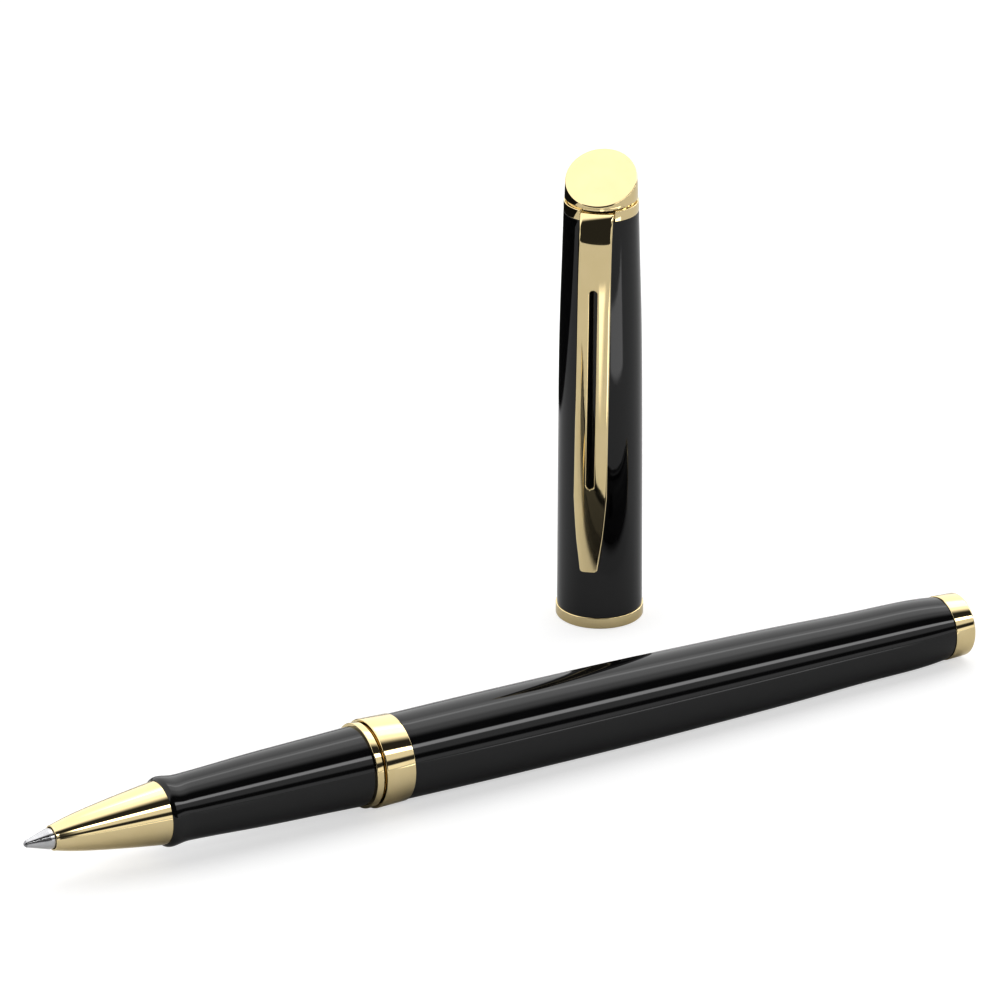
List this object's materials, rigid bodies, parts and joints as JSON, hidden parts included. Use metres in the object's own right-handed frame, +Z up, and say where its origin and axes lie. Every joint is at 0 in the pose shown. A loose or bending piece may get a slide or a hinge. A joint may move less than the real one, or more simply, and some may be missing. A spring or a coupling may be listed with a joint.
{
  "type": "rollerball pen",
  "caption": "Slim gloss black rollerball pen with gold trim, lying uncapped beside its upright cap, which has a spring clip and a slanted crown.",
  "frame": {"origin": "middle of the bottom of the whole object's box, on the surface it rests on", "axes": "+X along the pen from its tip to its tail, +Z up, the cap stands on the +Y side"},
  "size_m": [0.121, 0.0414, 0.0572],
  "materials": {
    "black_lacquer": "high gloss lacquer over brass",
    "black_resin": "high gloss",
    "gold_plate": "polished pale gold plate",
    "turned_brass": "turned, unplated",
    "bright_steel": "bright turned",
    "carbide": "polished",
    "liner_plastic": "moulded",
    "refill_plastic": "moulded",
    "ink_fibre": "ink-soaked fibre"
  },
  "bodies": {
    "barrel": {"barrel_tube": "black_lacquer", "center_band": "gold_plate", "barrel_insert": "turned_brass", "tail_ring": "gold_plate", "tail_plug": "liner_plastic", "refill_spring": "bright_steel"},
    "refill": {"refill_ball": "carbide", "refill_tip": "bright_steel", "refill_nose": "refill_plastic", "refill_feed": "ink_fibre", "refill_reservoir": "ink_fibre", "refill_tube": "refill_plastic", "refill_plug": "refill_plastic"},
    "section": {"section_grip": "black_resin", "nose_cone": "gold_plate", "section_ring": "gold_plate", "section_core": "turned_brass"},
    "cap": {"cap_tube": "black_lacquer", "cap_lip_ring": "gold_plate", "cap_liner": "liner_plastic", "cap_bushing": "turned_brass", "crown_screw": "bright_steel", "clip_ring": "gold_plate", "crown": "gold_plate"},
    "clip": {"clip": "gold_plate"}
  },
  "joints": [
    {"name": "cap_lift", "type": "slide", "parent": "barrel", "child": "cap", "axis": [0, 0, 1], "range_m": [0, 0.15]},
    {"name": "clip_flex", "type": "hinge", "parent": "cap", "child": "clip", "pos_m": [0.02799, 0.01254, 0.05145], "axis": [-0.7705, 0.6374, 0], "range_deg": [0, 3.5], "stiffness_Nm_per_rad": 2},
    {"name": "refill_advance", "type": "slide", "parent": "barrel", "child": "refill", "axis": [-0.9999, 0, 0.0167], "range_m": [0, 0.005], "deforming": ["refill_spring"]},
    {"name": "section_unscrew", "type": "hinge", "parent": "refill", "child": "section", "pos_m": [-0.03472, -0.01565, 0.00534], "axis": [-0.9999, 0, 0.0167], "range_deg": [0, 1800]}
  ],
  "couplings": [
    {"joint": "section_unscrew", "follows": "refill_advance", "rad_per_m": 6283.2}
  ]
}
